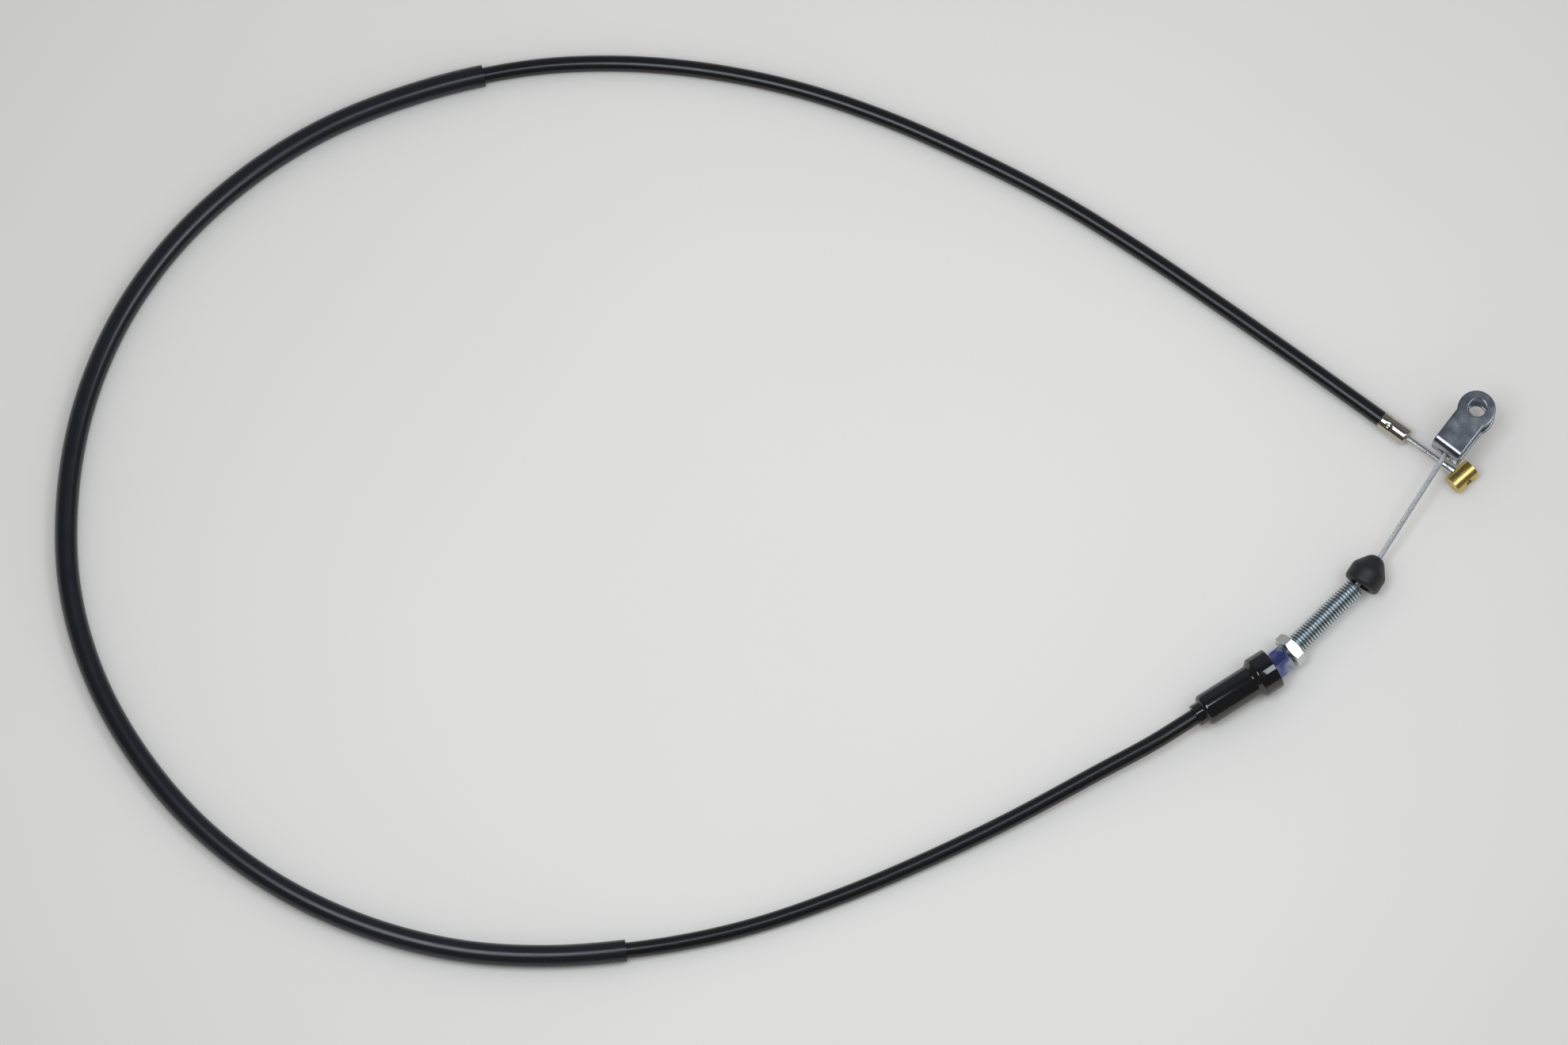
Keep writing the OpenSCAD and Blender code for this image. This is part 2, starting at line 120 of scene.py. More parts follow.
class Look:
    def __init__(self, name, owner=None, **shader):
        # a world's background has the same use as a material's shader
        self.material = owner or bpy.data.materials.new(name)
        self.material.use_nodes = True
        self.tree = self.material.node_tree
        self.shader = self.tree.nodes["Background" if owner else "Principled BSDF"]
        for socket, value in shader.items():
            self.feed(socket, value)

    def feed(self, socket, value):
        self.connect(self.shader.inputs[socket.replace("_", " ")], value)

    def connect(self, target, value):
        if isinstance(value, Field):
            self.tree.links.new(value.socket, target)
        else:
            target.default_value = value

    def add(self, kind, settings, sockets, output=0):
        made = self.tree.nodes.new(kind)
        for name, value in settings.items():
            if name == "stops":
                ramp = made.color_ramp
                while len(ramp.elements) < len(value):
                    ramp.elements.new(1.0)
                for stop, (place, colour) in zip(ramp.elements, value):
                    stop.position = place
                    stop.color = colour
            else:
                setattr(made, name, value)
        for name, value in sockets.items():
            self.connect(made.inputs[name], value)
        return Field(self, made.outputs[output])

    def place(self, kind="Object"):
        return self.add("ShaderNodeTexCoord", {}, {}, kind)

    def noise(self, scale, detail=3.0, rough=0.5, where=None):
        sockets = {"Scale": scale, "Detail": detail, "Roughness": rough}
        sockets["Vector"] = self.place() if where is None else where
        return self.add("ShaderNodeTexNoise", {}, sockets, "Fac")

    def along(self, direction, start=(0.0, 0.0, 0.0)):
        # metres from start, measured along a direction of the part
        offset = self.add(
            "ShaderNodeVectorMath", {"operation": "SUBTRACT"}, {0: self.place(), 1: start}
        )
        return self.add(
            "ShaderNodeVectorMath",
            {"operation": "DOT_PRODUCT"},
            {0: offset, 1: tuple(direction)},
            "Value",
        )

    def around(self, direction, start):
        # metres out from an axis of the part
        offset = self.add(
            "ShaderNodeVectorMath", {"operation": "SUBTRACT"}, {0: self.place(), 1: tuple(start)}
        )
        side = self.add(
            "ShaderNodeVectorMath", {"operation": "CROSS_PRODUCT"}, {0: offset, 1: tuple(direction)}
        )
        return self.add("ShaderNodeVectorMath", {"operation": "LENGTH"}, {0: side}, "Value")

    def blendColours(self, share, first, second):
        settings = {"data_type": "RGBA", "blend_type": "MIX"}
        sockets = {0: share, 6: first, 7: second}
        return self.add("ShaderNodeMix", settings, sockets, 2)

    def ramp(self, value, stops):
        return self.add("ShaderNodeValToRGB", {"stops": stops}, {"Fac": value}, "Color")

    def attribute(self, name):
        return self.add("ShaderNodeAttribute", {"attribute_name": name}, {}, "Fac")


def grey(value, warmth=0.0):
    return (value * (1 + warmth), value, value * (1 - warmth), 1.0)


# placing frames of the working ends, the same as the solids
lever = {"nose": Vector((236.4, 29.0, 3.9)), "azimuth": -37.0, "wireIn": 30.0, "wireOut": 27.5}
adjuster = {"zero": Vector((184.5, -63.9, 7.6)), "azimuth": 45.7, "hexFront": 8.4, "tip": 46.2}
cover = {"start": Vector((156.8, -82.05, 8.1)), "azimuth": 33.5}
clevis = {"web": Vector((250.1, 19.35, 14.5)), "azimuth": 53.0, "rise": 4.0}
leverWay = heading(lever["azimuth"])
adjusterWay = heading(adjuster["azimuth"])
coverWay = heading(cover["azimuth"])
clevisWay = heading(clevis["azimuth"], clevis["rise"])
wireBend = adjuster["zero"] + adjusterWay * (adjuster["tip"] + 8)
nippleMid = clevis["web"] + clevisWay * 5.9
wireWay = (nippleMid - wireBend).normalized()


# route of the casing, lever end first
casing = {
    "diameter": 6.2,
    "sleeveDiameter": 8.5,
    "sleeveBore": 7.0,
    "coilPitch": 0.875,
    "step": 4.0,
    "beforeSleeve": [
        (180.4, 71.0, 3.55), (165.1, 82.2, 3.3), (135.6, 103.2, 3.1), (105.1, 122.9, 3.1),
        (73.2, 140.0, 3.1), (40.3, 155.2, 3.1), (6.1, 167.0, 3.1), (-29.4, 174.3, 3.1),
        (-65.5, 176.7, 3.1), (-88.0, 175.3, 3.7),
    ],
    "inSleeve": [
        (-109.8, 171.5, 4.25), (-136.5, 164.1, 4.25), (-169.9, 150.1, 4.25),
        (-200.0, 130.1, 4.25), (-225.9, 104.8, 4.25), (-246.1, 74.8, 4.25),
        (-259.4, 41.2, 4.25), (-265.5, 5.5, 4.25), (-264.6, -30.7, 4.25),
        (-255.2, -65.6, 4.25), (-238.1, -97.5, 4.25), (-215.0, -125.3, 4.25),
        (-186.5, -147.5, 4.25), (-154.0, -163.5, 4.25), (-119.1, -172.9, 4.25),
        (-83.0, -175.1, 4.25), (-56.4, -173.0, 4.25),
    ],
    "afterSleeve": [
        (-34.0, -169.3, 3.6), (-11.6, -163.8, 3.1), (22.5, -151.8, 3.1), (55.7, -137.3, 3.5),
        (88.0, -121.4, 4.8), (119.6, -104.1, 6.7),
    ],
}


def smoothRoute(points, step):
    # a cubic through the points that keeps each point's slope, cut to even steps
    spans = [(b - a).length for a, b in zip(points, points[1:])]
    chords = [(b - a) / s for a, b, s in zip(points, points[1:], spans)]
    slopes = [chords[0]]
    for i in range(1, len(points) - 1):
        slopes.append(
            (chords[i - 1] * spans[i] + chords[i] * spans[i - 1]) / (spans[i] + spans[i - 1])
        )
    slopes.append(chords[-1])
    out = []
    for i, s in enumerate(spans):
        count = math.ceil(s / step)
        for k in range(count):
            t = k / count
            out.append(
                points[i] * (2 * t**3 - 3 * t**2 + 1)
                + slopes[i] * s * (t**3 - 2 * t**2 + t)
                + points[i + 1] * (3 * t**2 - 2 * t**3)
                + slopes[i + 1] * s * (t**3 - t**2)
            )
    return out + [points[-1]]


def finishPiece(name, bm, material, rides, smoothAngle=35):
    bmesh.ops.recalc_face_normals(bm, faces=bm.faces)
    for face in bm.faces:
        face.smooth = True
    for edge in bm.edges:
        if len(edge.link_faces) == 2:
            edge.smooth = edge.calc_face_angle(0.0) < math.radians(smoothAngle)
    mesh = bpy.data.meshes.new(name)
    bm.to_mesh(mesh)
    bm.free()
    piece = bpy.data.objects.new(name, mesh)
    bpy.context.scene.collection.objects.link(piece)
    mesh.materials.append(material)
    if rides:
        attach(piece, rides)
    return piece


def sweep(bm, stations, section):
    # stations: centre, direction, scale, twist in radians, distance along the route
    run = bm.verts.layers.float.new("along")
    ring = section(bm)
    edges = list({e for v in ring for e in v.link_edges})
    last = Matrix.Identity(4)
    for number, (centre, way, scale, twist, along) in enumerate(stations):
        here = aim(centre * mm, way) @ Matrix.Rotation(twist, 4, "Z") @ Matrix.Scale(scale, 4)
        if number:
            grown = bmesh.ops.extrude_edge_only(bm, edges=edges)["geom"]
            ring = [g for g in grown if isinstance(g, bmesh.types.BMVert)]
            edges = [g for g in grown if isinstance(g, bmesh.types.BMEdge)]
        bmesh.ops.transform(bm, matrix=here @ last.inverted(), verts=ring)
        for v in ring:
            v[run] = along
        last = here
    return ring


def stationsOn(route, scale=1.0, lay=0.0, start=0.0):
    out, along = [], start
    for i, point in enumerate(route):
        way = route[min(i + 1, len(route) - 1)] - route[max(i - 1, 0)]
        if i:
            along += (point - route[i - 1]).length
        twist = 2 * math.pi * along / lay if lay else 0.0
        out.append((point, way, scale, twist, along * mm))
    return out


def roundSection(radius, sides):
    def build(bm):
        return bmesh.ops.create_circle(bm, segments=sides, radius=radius * mm)["verts"]

    return build


# the casing jacket: satin black, with the coil under it showing through as fine rings
jacketLook = Look("jacketVinyl", Base_Color=grey(0.012), Roughness=0.3, IOR=1.5)
rings = jacketLook.attribute("along") * (2 * math.pi / (casing["coilPitch"] * mm))
jacketNoise = jacketLook.noise(260.0)
jacketLook.feed("Normal", (rings.wave() * 0.5 + jacketNoise * 0.5).bump(0.22, 0.06 * mm))
jacketLook.feed("Roughness", jacketNoise * 0.1 + 0.2)
jacketLook.feed(
    "Base Color",
    jacketLook.blendColours(
        jacketLook.noise(40.0), (0.0035, 0.0035, 0.004, 1), (0.006, 0.006, 0.0065, 1)
    ),
)

leverRun = [lever["nose"] - leverWay * back for back in (0.8, 14, 30, 45)]
coverRun = [cover["start"] + coverWay * u for u in (-16, -4, 3.5)]
adjusterRun = [adjuster["zero"] + adjusterWay * v for v in (-6.0, 0.0, 6.4)]
inSleeve = [Vector(p) for p in casing["inSleeve"]]
casingPoints = leverRun + [Vector(p) for p in casing["beforeSleeve"]] + inSleeve
casingPoints += [Vector(p) for p in casing["afterSleeve"]] + coverRun
casingPoints += [Vector((170.4, -74.6, 7.9))] + adjusterRun
casingRoute = smoothRoute(casingPoints, casing["step"])
casingLength = sum((b - a).length for a, b in zip(casingRoute, casingRoute[1:]))

bm = bmesh.new()
stations = stationsOn(casingRoute)
firstRing = [(stations[0][0], stations[0][1], 0.8, 0.0, 0.0)]
lastRing = [(stations[-1][0], stations[-1][1], 0.8, 0.0, stations[-1][4])]
sweep(bm, firstRing + stations + lastRing, roundSection(casing["diameter"] / 2, 28))
jacket = finishPiece("casingJacket", bm, jacketLook.material, "casing", 60)
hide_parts("casing_jacket")
print("casing swept, mm:", round(casingLength, 1))

# the guard sleeve: a smoother tube over the back of the loop, with plain cut ends
sleeveLook = Look("sleeveVinyl", Roughness=0.3, IOR=1.5)
sleeveNoise = sleeveLook.noise(120.0, 4.0)
sleeveLook.feed("Roughness", sleeveNoise * 0.14 + 0.2)
sleeveLook.feed("Normal", sleeveNoise.bump(0.12, 0.1 * mm))
sleeveLook.feed(
    "Base Color",
    sleeveLook.blendColours(
        sleeveLook.noise(18.0), (0.005, 0.0055, 0.008, 1), (0.009, 0.010, 0.014, 1)
    ),
)
sleeveStart = leverRun + [Vector(p) for p in casing["beforeSleeve"]]
firstIndex = len(smoothRoute(sleeveStart + inSleeve[:1], casing["step"])) - 1
sleeveCount = len(smoothRoute(inSleeve, casing["step"]))
sleeveRoute = casingRoute[firstIndex:firstIndex + sleeveCount]
bore = casing["sleeveBore"] / casing["sleeveDiameter"]
stations = stationsOn(sleeveRoute)
inside = [(c, w, bore, t, a) for c, w, s, t, a in stations]
bm = bmesh.new()
sweep(
    bm,
    [inside[3], inside[0]] + stations + [inside[-1], inside[-4]],
    roundSection(casing["sleeveDiameter"] / 2, 32),
)
sleeve = finishPiece("guardSleeve", bm, sleeveLook.material, "casing", 60)
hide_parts("guard_sleeve")


# the stranded wire: twelve outer strands in a right-hand lay
strand = {"wireRadius": 1.0, "strands": 12, "lay": 15.0, "step": 0.4, "pointsEach": 6, "tip": 0.02}


def strandSection(bm):
    count = strand["strands"] * strand["pointsEach"]
    ring = bmesh.ops.create_circle(bm, segments=count, radius=1.0)["verts"]
    small = math.sin(math.pi / strand["strands"]) / (1 + math.sin(math.pi / strand["strands"]))
    for v in ring:
        turn = math.atan2(v.co.y, v.co.x) * strand["strands"] / (2 * math.pi)
        off = (turn - round(turn)) * 2 * math.pi / strand["strands"]
        centre = 1 - small
        out = centre * math.cos(off)
        out += math.sqrt(max(0.0, small**2 - (centre * math.sin(off)) ** 2))
        v.co *= out * strand["wireRadius"] * mm
    return ring


def evenly(route, step):
    out = []
    for a, b in zip(route, route[1:]):
        count = max(1, round((b - a).length / step))
        out += [a.lerp(b, k / count) for k in range(count)]
    return out + [route[-1]]


def wireFinish(name, polish, dark, light):
    look = Look(name, Metallic=1.0, Roughness=0.3)
    speckle = look.noise(900.0, 2.0)
    look.feed("Roughness", speckle * 0.16 + polish)
    look.feed("Base Color", look.blendColours(look.noise(300.0), grey(dark), grey(light)))
    look.feed("Normal", speckle.bump(0.1, 0.02 * mm))
    return look


wireLook = wireFinish("strandedSteel", 0.2, 0.54, 0.76)
drawnLook = wireFinish("drawnSteel", 0.32, 0.60, 0.80)


def strandedWire(name, route, look, rides):
    bm = bmesh.new()
    stations = stationsOn(evenly(route, strand["step"]), lay=strand["lay"])
    first, last = stations[0], stations[-1]
    stations = [(first[0], first[1], strand["tip"]) + first[3:]] + stations
    stations.append((last[0], last[1], strand["tip"]) + last[3:])
    sweep(bm, stations, strandSection)
    return finishPiece(name, bm, look.material, rides, 80)


leverWire = strandedWire(
    "leverWire",
    [lever["nose"] - leverWay * lever["wireIn"], lever["nose"] + leverWay * lever["wireOut"]],
    wireLook,
    "lever_end",
)
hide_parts("lever_wire")

nippleLength = 7.0  # the wire stops short of the nipple's far end
bendPoints = [wireBend - adjusterWay * d for d in (3.0, 1.2)] + [wireBend + wireWay * 1.2]
drumPoints = [wireBend - adjusterWay * (adjuster["tip"] + 8 - 38.3)] + smoothRoute(
    [wireBend - adjusterWay * 6, *bendPoints, wireBend + wireWay * 4], 0.6
)
drumPoints.append(nippleMid + wireWay * (nippleLength / 2 - 0.8))
drumWire = strandedWire("drumWire", drumPoints, drawnLook, None)
blendFrom, blendTo = wireBend + wireWay * 8, nippleMid - wireWay * 6
tuple(blendFrom * mm)
tuple(blendTo * mm)
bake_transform(drumWire)
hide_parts("drum_wire")
print("sleeve and wires made")


# turned pieces: a profile of radius and height, its corners rounded, spun about its axis
def turned(name, profile, place, material, rides, segments=96):
    bm = bmesh.new()
    made = []
    for radius, height, corner in profile:
        v = bm.verts.new((radius * mm, 0, height * mm))
        made.append((v, corner))
    edges = [bm.edges.new((a[0], b[0])) for a, b in zip(made, made[1:])]
    for v, corner in made:
        if corner:
            bmesh.ops.bevel(
                bm, geom=[v], offset=corner * mm, offset_type="OFFSET", affect="VERTICES",
                segments=4, profile=0.5, material=-1,
            )
    bmesh.ops.spin(
        bm, geom=bm.verts[:] + bm.edges[:], cent=(0, 0, 0), axis=(0, 0, 1),
        angle=2 * math.pi, steps=segments, use_merge=True,
    )
    bmesh.ops.remove_doubles(bm, verts=bm.verts, dist=1e-7)
    bmesh.ops.transform(bm, matrix=place, verts=bm.verts)
    return finishPiece(name, bm, material, rides)


def closed(profile):
    return profile + [(profile[0][0], profile[0][1], 0)]


# lever ferrule: bright nickel, crimped onto the casing by small dents
ferrule = {
    "radius": 3.4, "bore": 3.15, "length": 12.0, "nose": 0.8, "hole": 1.2,
    "dentFromBack": 3.9, "dentWidth": 1.5, "dentDepth": 0.38, "dentTurns": (205, 292, 25, 115),
}
nickelLook = Look("ferruleNickel", Metallic=1.0, Roughness=0.12)
nickelNoise = nickelLook.noise(500.0, 3.0)
nickelLook.feed("Roughness", nickelNoise * 0.1 + 0.1)
nickelLook.feed("Normal", nickelLook.noise(160.0).bump(0.08, 0.1 * mm))
nickelLook.feed(
    "Base Color",
    nickelLook.blendColours(nickelLook.noise(120.0), (0.43, 0.39, 0.30, 1), (0.64, 0.59, 0.49, 1)),
)
outer, back = ferrule["radius"], -ferrule["length"]
rows = [(outer, back + 0.3 + 0.35 * i, 0) for i in range(31)]
ferrulePiece = turned(
    "leverFerrule",
    closed(
        [(ferrule["bore"], back, 0), (outer - 0.08, back, 0), *rows, (outer, -0.9, 0),
         (outer - 0.06, -0.55, 0), (outer - 0.27, -0.26, 0), (outer - 0.56, -0.07, 0),
         (outer - 0.9, 0, 0), (ferrule["hole"], 0, 0), (ferrule["hole"], -ferrule["nose"], 0),
         (ferrule["bore"], -ferrule["nose"], 0)]
    ),
    aim(lever["nose"] * mm, leverWay),
    nickelLook.material,
    "casing",
)
inwards = aim(lever["nose"] * mm, leverWay)
for v in ferrulePiece.data.vertices:
    local = inwards.inverted() @ v.co / mm
    reach = math.hypot(local.x, local.y)
    if reach < ferrule["bore"] + 0.05:
        continue
    turn = math.atan2(local.y, local.x)
    for dent in ferrule["dentTurns"]:
        apart = math.remainder(turn - math.radians(dent), 2 * math.pi) * outer
        gap = math.hypot(apart, local.z - back - ferrule["dentFromBack"])
        push = ferrule["dentDepth"] * math.exp(-((gap / ferrule["dentWidth"] * 1.6) ** 2))
        local.x -= push * math.cos(turn)
        local.y -= push * math.sin(turn)
    v.co = inwards @ (local * mm)
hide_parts("lever_ferrule")


# pieces cut from the CAD solids, with their sharp edges broken
def softened(
    name, node, width, material, rides, segments=2, minAngle=28, cut=None, clamp=True
):
    bm = bmesh.new()
    bm.from_mesh(nodes[node].data)
    bmesh.ops.remove_doubles(bm, verts=bm.verts, dist=1e-6)
    if cut:
        point, normal = cut
        bmesh.ops.bisect_plane(
            bm, geom=bm.verts[:] + bm.edges[:] + bm.faces[:], dist=1e-7,
            plane_co=point * mm, plane_no=normal, clear_outer=True,
        )
    bmesh.ops.dissolve_limit(
        bm, angle_limit=math.radians(1.0), verts=bm.verts[:], edges=bm.edges[:]
    )
    sharp = [e for e in bm.edges if e.calc_face_angle(0.0) > math.radians(minAngle)]
    bmesh.ops.bevel(
        bm, geom=sharp, offset=width * mm, offset_type="OFFSET", affect="EDGES",
        segments=segments, profile=0.5, material=-1, clamp_overlap=clamp,
    )
    piece = finishPiece(name, bm, material, rides)
    # broad flat faces keep their own direction up to the rounded edges
    evenShade = piece.modifiers.new("evenShade", "WEIGHTED_NORMAL")
    evenShade.keep_sharp = True
    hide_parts(node)
    return piece


# barrel: turned brass, with fine tool lines round it
barrel = {"azimuth": 43.0, "toolStep": 0.12, "edge": 0.25}
brassLook = Look("turnedBrass", Metallic=1.0, Roughness=0.25)
brassNoise = brassLook.noise(700.0, 2.0)
brassLook.feed("Roughness", brassNoise * 0.12 + 0.26)
turnLines = brassLook.along(heading(barrel["azimuth"])) * (2 * math.pi / (barrel["toolStep"] * mm))
brassLook.feed("Normal", (turnLines.wave() + brassNoise).bump(0.06, 0.02 * mm))
brassLook.feed(
    "Base Color",
    brassLook.blendColours(brassLook.noise(220.0), (0.62, 0.45, 0.13, 1), (0.80, 0.62, 0.24, 1)),
)
softened("barrelNipple", "barrel_nipple", barrel["edge"], brassLook.material, "lever_end")

collarLook = Look("platedSteel", Metallic=1.0, Roughness=0.2)
collarLook.feed("Roughness", collarLook.noise(500.0) * 0.12 + 0.16)
collarLook.feed(
    "Base Color",
    collarLook.blendColours(collarLook.noise(160.0), (0.62, 0.63, 0.60, 1), (0.80, 0.80, 0.77, 1)),
)
softened("nippleCollar", "nipple_collar", 0.15, collarLook.material, "lever_end")


# adjuster: bluish zinc head, softened, and a real helical thread on the shank
thread = {"pitch": 1.25, "crest": 3.98, "root": 3.36, "segments": 56, "pointsEach": 10,
          "flatness": 0.85, "chamfer": 0.7, "bore": 1.5}
zincBlueLook = Look("blueZinc", Metallic=1.0, Roughness=0.18)
tint = zincBlueLook.noise(170.0, 2.0)
zincBlueLook.feed(
    "Base Color",
    zincBlueLook.ramp(
        tint,
        [(0.40, (0.15, 0.17, 0.48, 1)), (0.52, (0.30, 0.34, 0.68, 1)), (0.6, (0.60, 0.66, 0.84, 1)),
         (0.68, (0.84, 0.88, 0.94, 1))],
    ),
)
zincBlueLook.feed("Roughness", zincBlueLook.noise(420.0) * 0.16 + 0.12)
zincBlueLook.feed("Normal", zincBlueLook.noise(350.0).bump(0.08, 0.05 * mm))
hexFace = adjuster["zero"] + adjusterWay * (adjuster["hexFront"] + 0.02)
softened(
    "adjusterHead", "adjuster_bolt", 0.3, zincBlueLook.material, "adjuster", segments=3,
    cut=(hexFace, adjusterWay),
)

zincLook = Look("brightZinc", Metallic=1.0, Roughness=0.2)
zincLook.feed("Specular Tint", (0.30, 0.34, 0.35, 1))
zincNoise = zincLook.noise(420.0, 3.0)
zincLook.feed("Roughness", zincNoise * 0.14 + 0.26)
zincLook.feed("Normal", zincNoise.bump(0.06, 0.04 * mm))
# painted shade: the thread's colour is dark in the roots of the grooves, turning to plain bright
# zinc on the crests
fromAxis = zincLook.around(adjusterWay, adjuster["zero"] * mm) / (10 * mm)
paintedRootShade = zincLook.ramp(
    fromAxis,
    [(0.33, (0.16, 0.20, 0.22, 1)), (0.36, (0.46, 0.53, 0.56, 1)), (0.385, (0.80, 0.86, 0.88, 1))],
)
zincLook.feed("Base Color", paintedRootShade)
length = adjuster["tip"] - adjuster["hexFront"]
turns = math.ceil(length / thread["pitch"]) + 2
bm = bmesh.new()
corners = []
for i in range(thread["pointsEach"] + 1):
    share = i / thread["pointsEach"]
    height = (0.5 - 0.5 * math.cos(2 * math.pi * share)) ** thread["flatness"]
    radius = thread["root"] + (thread["crest"] - thread["root"]) * height
    corners.append(bm.verts.new((radius * mm, 0, (share - 1) * thread["pitch"] * mm)))
edges = [bm.edges.new(pair) for pair in zip(corners, corners[1:])]
bmesh.ops.spin(
    bm, geom=corners + edges, cent=(0, 0, 0), axis=(0, 0, 1), angle=2 * math.pi * turns,
    steps=thread["segments"] * turns, dvec=(0, 0, thread["pitch"] * mm / thread["segments"]),
)
bmesh.ops.remove_doubles(bm, verts=bm.verts, dist=1e-6)
for v in bm.verts:
    # the first and last turns run out under the end chamfer
    over = v.co.z / mm - (length - thread["chamfer"])
    limit = (thread["crest"] - max(0.0, over)) * mm
    reach = math.hypot(v.co.x, v.co.y)
    if reach > limit:
        v.co.x *= limit / reach
        v.co.y *= limit / reach
for z, outward in ((0.0, -1), (length, 1)):
    bmesh.ops.bisect_plane(
        bm, geom=bm.verts[:] + bm.edges[:] + bm.faces[:], dist=1e-7,
        plane_co=(0, 0, z * mm), plane_no=(0, 0, outward), clear_outer=True,
    )
    rim = [
        e for e in bm.edges
        if e.is_boundary and all(abs(v.co.z - z * mm) < 1e-6 for v in e.verts)
    ]
    for reach, depth in ((thread["bore"], 0.0), (thread["bore"], 6.0)):
        grown = bmesh.ops.extrude_edge_only(bm, edges=rim)["geom"]
        rim = [g for g in grown if isinstance(g, bmesh.types.BMEdge)]
        for v in {v for e in rim for v in e.verts}:
            now = math.hypot(v.co.x, v.co.y)
            v.co.x *= reach * mm / now
            v.co.y *= reach * mm / now
            v.co.z = (z - outward * depth) * mm
bmesh.ops.transform(
    bm, matrix=aim((adjuster["zero"] + adjusterWay * adjuster["hexFront"]) * mm, adjusterWay),
    verts=bm.verts,
)
shank = finishPiece("adjusterThread", bm, zincLook.material, "adjuster", 50)

nutLook = Look("nutZinc", Metallic=1.0, Roughness=0.22)
nutLook.feed("Roughness", nutLook.noise(300.0) * 0.16 + 0.16)
nutLook.feed("Normal", nutLook.noise(700.0, 2.0).bump(0.08, 0.03 * mm))
nutLook.feed(
    "Base Color",
    nutLook.blendColours(nutLook.noise(90.0), (0.58, 0.60, 0.57, 1), (0.72, 0.74, 0.71, 1)),
)
softened("lockNut", "lock_nut", 0.12, nutLook.material, "lock_nut")
print("adjuster cut and threaded")


# clevis: pressed sheet with rolled edges, faint bend marks and blotchy zinc
clevisSheet = {"bendMarks": (3.4, 6.9), "markWidth": 0.22, "edge": 0.5}
clevisLook = Look("clevisZinc", Metallic=1.0, Roughness=0.3)
blotch = clevisLook.noise(150.0, 5.0, 0.6)
clevisLook.feed(
    "Base Color",
    clevisLook.ramp(
        blotch,
        [(0.3, (0.25, 0.265, 0.30, 1)), (0.5, (0.31, 0.325, 0.36, 1)),
         (0.75, (0.40, 0.415, 0.44, 1))],
    ),
)
fromWeb = clevisLook.along(clevisWay, tuple(clevis["web"] * mm))
lines = 0.0
for where in clevisSheet["bendMarks"]:
    near = (fromWeb - where * mm) / (clevisSheet["markWidth"] * mm)
    lines = (0.0 - near * near).exponential() + lines
clevisLook.feed("Normal", (lines * 0.6 + clevisLook.noise(600.0) * 0.4).bump(0.25, 0.08 * mm))
clevisLook.feed("Roughness", blotch * 0.14 + 0.1)
softened(
    "clevisFork", "clevis", clevisSheet["edge"], clevisLook.material, "clevis", segments=4,
    minAngle=35, clamp=False,
)

# adjuster cover: glossy black rubber
glossLook = Look("glossRubber", Roughness=0.16, IOR=1.7)
glossNoise = glossLook.noise(90.0, 4.0)
glossLook.feed("Roughness", glossNoise * 0.1 + 0.04)
glossLook.feed("Normal", glossNoise.bump(0.1, 0.1 * mm))
glossLook.feed(
    "Base Color",
    glossLook.blendColours(
        glossLook.noise(60.0), (0.003, 0.003, 0.003, 1), (0.006, 0.0055, 0.005, 1)
    ),
)
shell = {"bore": 3.15, "neck": 4.4, "neckEnd": 3.3, "body": 6.3, "flareFrom": 25.5,
         "mouth": 8.1, "flareTo": 27.3, "length": 34.6, "wall": 0.8}
mouthInside, bodyInside = shell["mouth"] - shell["wall"], shell["body"] - shell["wall"]
innerEnd = shell["neckEnd"] + shell["wall"]
coverPiece = turned(
    "adjusterCover",
    closed(
        [(shell["bore"], 0, 0), (shell["neck"], 0, 0.35), (shell["neck"], shell["neckEnd"], 0.25),
         (shell["body"], shell["neckEnd"], 1.7), (shell["body"], shell["flareFrom"], 0.4),
         (shell["mouth"], shell["flareTo"], 0.4), (shell["mouth"], shell["length"], 0.2),
         (mouthInside, shell["length"], 0.15), (mouthInside, shell["flareTo"] + 0.35, 0.2),
         (bodyInside, shell["flareFrom"] + 0.35, 0.2), (bodyInside, innerEnd + 1, 0),
         (bodyInside - 1, innerEnd, 0), (shell["bore"], innerEnd, 0)]
    ),
    aim(cover["start"] * mm, coverWay),
    glossLook.material,
    "adjuster_cover",
)
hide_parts("adjuster_cover")

# dust cap: matt black rubber, threaded loosely on the wire
mattLook = Look("mattRubber", Roughness=0.5, IOR=1.5)
mattNoise = mattLook.noise(300.0, 5.0, 0.6)
mattLook.feed("Roughness", mattNoise * 0.2 + 0.4)
mattLook.feed("Normal", mattNoise.bump(0.2, 0.06 * mm))
mattLook.feed(
    "Base Color",
    mattLook.blendColours(mattLook.noise(80.0), (0.008, 0.008, 0.009, 1), (0.014, 0.014, 0.015, 1)),
)
cap = {"bore": 1.6, "socket": 4.15, "socketDepth": 9.0, "rim": 6.3, "outer": 7.05,
       "rimEnd": 0.9, "shoulder": 6.5, "nose": 3.4, "noseFrom": 11.6, "tip": 1.9,
       "length": 12.6, "hangs": Vector((-0.15, 0.5, -6.25))}
capPlace = aim(wireBend * mm, wireWay) @ Matrix.Translation(cap["hangs"] * mm)
capPiece = turned(
    "dustCap",
    closed(
        [(cap["socket"], 0, 0.2), (cap["rim"], 0, 0.4), (cap["outer"], cap["rimEnd"], 0.5),
         (cap["outer"], cap["shoulder"], 0.9), (cap["nose"], cap["noseFrom"], 0.5),
         (cap["tip"], cap["length"], 0.3), (cap["bore"], cap["length"], 0),
         (cap["bore"], cap["socketDepth"], 0), (cap["socket"], cap["socketDepth"], 0)]
    ),
    capPlace,
    mattLook.material,
    "dust_cap",
)
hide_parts("dust_cap")
print("covers and clevis made")


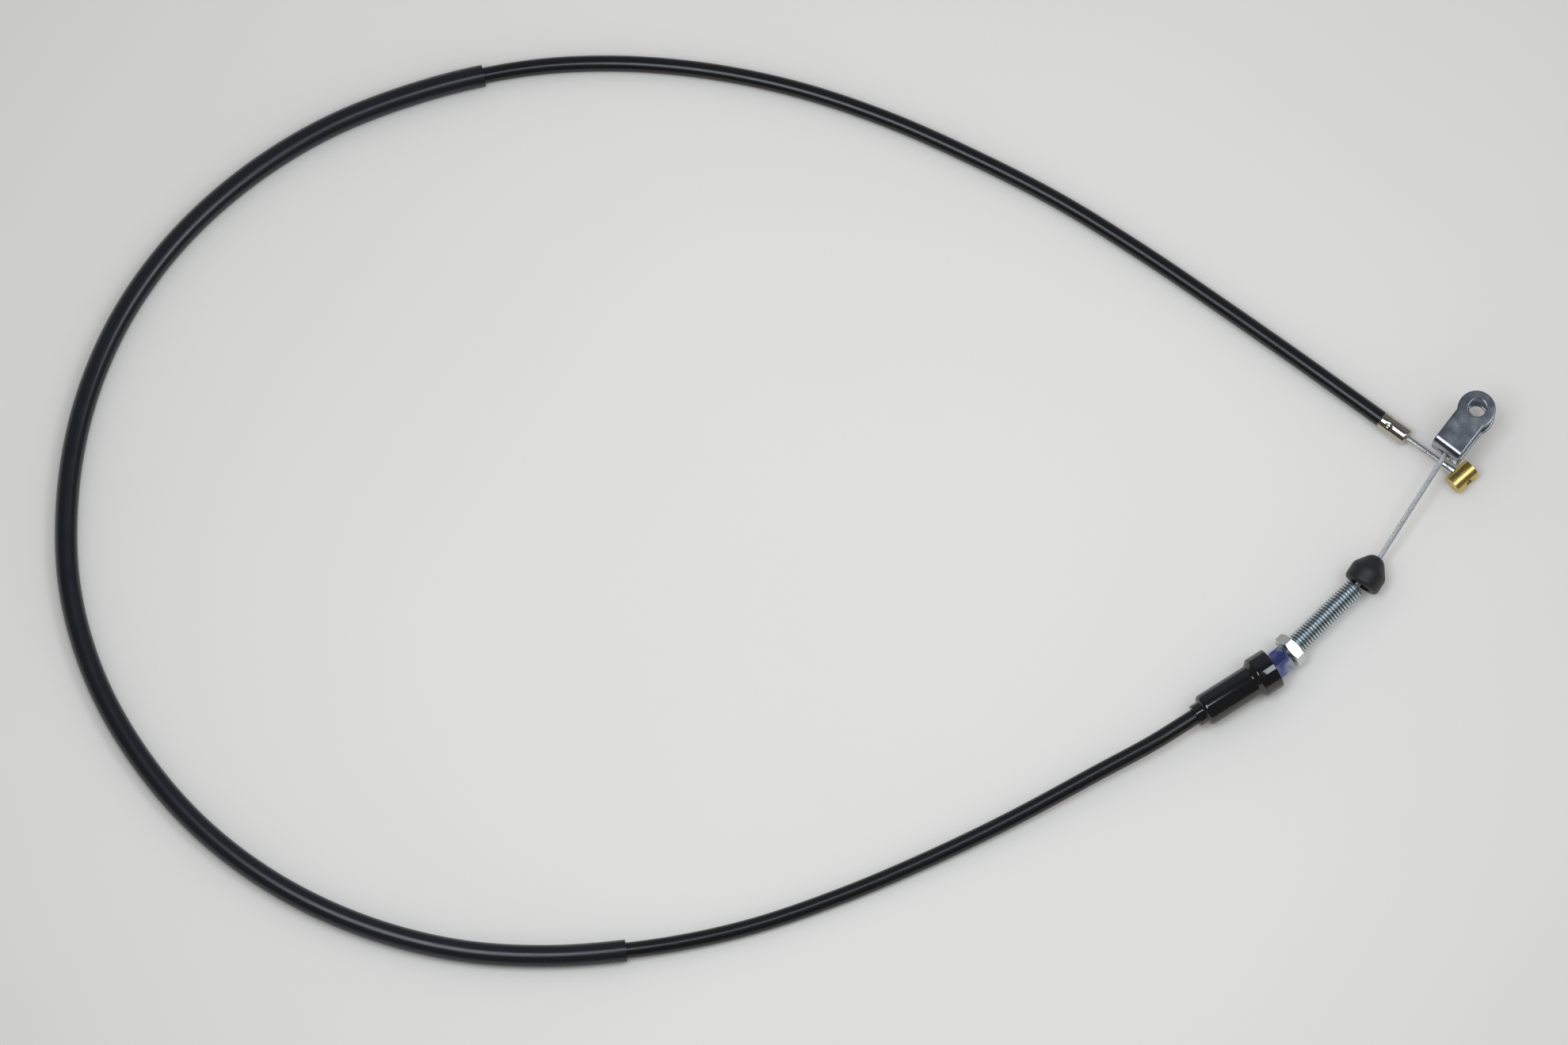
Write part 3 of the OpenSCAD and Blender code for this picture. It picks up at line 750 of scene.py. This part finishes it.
# solids that stay as they are and only get their finish
solderLook = Look("dullSolder", Metallic=1.0, Roughness=0.45)
solderLook.feed("Roughness", solderLook.noise(600.0) * 0.2 + 0.35)
solderLook.feed(
    "Base Color",
    solderLook.blendColours(solderLook.noise(300.0), (0.46, 0.46, 0.46, 1), (0.62, 0.62, 0.62, 1)),
)
linerLook = Look("linerPlastic", Roughness=0.4)
linerLook.feed(
    "Base Color",
    linerLook.blendColours(linerLook.noise(60.0), (0.72, 0.69, 0.62, 1), (0.80, 0.78, 0.72, 1)),
)
finishes = {
    "nipple_solder": solderLook, "clevis_solder": solderLook, "casing_liner": linerLook,
    "casing_coil": wireLook, "core_wire": wireLook, "casing_end_cap": collarLook,
    "clevis_nipple": brassLook,
}
for node, look in finishes.items():
    nodes[node].data.materials.clear()
    nodes[node].data.materials.append(look.material)

tuple(casingRoute[-1] * mm)
[tuple(p * mm) for p in casingRoute]

# pale floor with a painted pool of light: its colour is lighter around the middle and painted
# darker towards the corners, with a little random tone
floorLook = Look("paleFloor", Roughness=0.7)
floorLook.feed("Specular IOR Level", 0.1)
paintedLightCentre = (30.0 * mm, -30.0 * mm, 0.0)
away = floorLook.add(
    "ShaderNodeVectorMath", {"operation": "DISTANCE"}, {0: floorLook.place(), 1: paintedLightCentre},
    "Value",
)
paintedFalloff = away * away * 1.3 + floorLook.noise(5.0, 5.0) * 0.05
floorLook.feed(
    "Base Color", floorLook.blendColours(paintedFalloff, (0.69, 0.683, 0.672, 1), (0.08, 0.08, 0.08, 1))
)
bm = bmesh.new()
bmesh.ops.create_grid(bm, x_segments=1, y_segments=1, size=6.0)
floor = finishPiece("floor", bm, floorLook.material, None)

# soft studio light: one long lamp on either side overhead, in an even pale surround
lampsAround = Vector((210.0, -20.0, 0.0)) * mm
lamps = {
    "leftLamp": {"toward": (-0.26, -0.175, 0.95), "longWay": heading(53.0), "away": 1.8,
                 "length": 0.95, "width": 0.58, "power": 9.5, "colour": (0.85, 0.93, 1.0)},
    "rightLamp": {"toward": (0.365, -0.075, 0.928), "longWay": heading(-47.0), "away": 1.8,
                  "length": 0.82, "width": 0.5, "power": 6.5, "colour": (0.87, 0.94, 1.0)},
}
for name, lamp in lamps.items():
    data = bpy.data.lights.new(name, "AREA")
    data.shape = "RECTANGLE"
    data.size, data.size_y = lamp["length"], lamp["width"]
    data.energy = lamp["power"]
    data.color = lamp["colour"]
    made = bpy.data.objects.new(name, data)
    z = Vector(lamp["toward"]).normalized()
    x = (lamp["longWay"] - z * lamp["longWay"].dot(z)).normalized()
    facing = Matrix((x, z.cross(x), z)).transposed().to_4x4()
    made.matrix_world = Matrix.Translation(lampsAround + z * lamp["away"]) @ facing
    bpy.context.scene.collection.objects.link(made)

# the room: matt surfaces get it evenly, and gloss shows it dim, a little lighter at the back
world = bpy.data.worlds.new("studio")
room = Look("studio", world, Strength=1.0)
height, depth = (
    room.add("ShaderNodeSeparateXYZ", {}, {0: room.place("Generated")}, way) for way in ("Z", "Y")
)
dim = room.ramp(
    height,
    [(0.0, (0.14, 0.125, 0.10, 1)), (0.3, (0.09, 0.088, 0.08, 1)), (0.75, (0.08, 0.086, 0.10, 1)),
     (1.0, (0.08, 0.09, 0.115, 1))],
)
backShare = room.ramp(depth, [(0.3, (0, 0, 0, 1)), (0.6, (1, 1, 1, 1))])
shown = room.blendColours(backShare, dim, (0.20, 0.22, 0.26, 1))
isGlossy = room.add("ShaderNodeLightPath", {}, {}, "Is Glossy Ray")
room.feed("Color", room.blendColours(isGlossy, (0.73, 0.71, 0.685, 1), shown))
bpy.context.scene.world = world
bpy.context.scene.view_settings.view_transform = "Standard"
print("stage and light set")
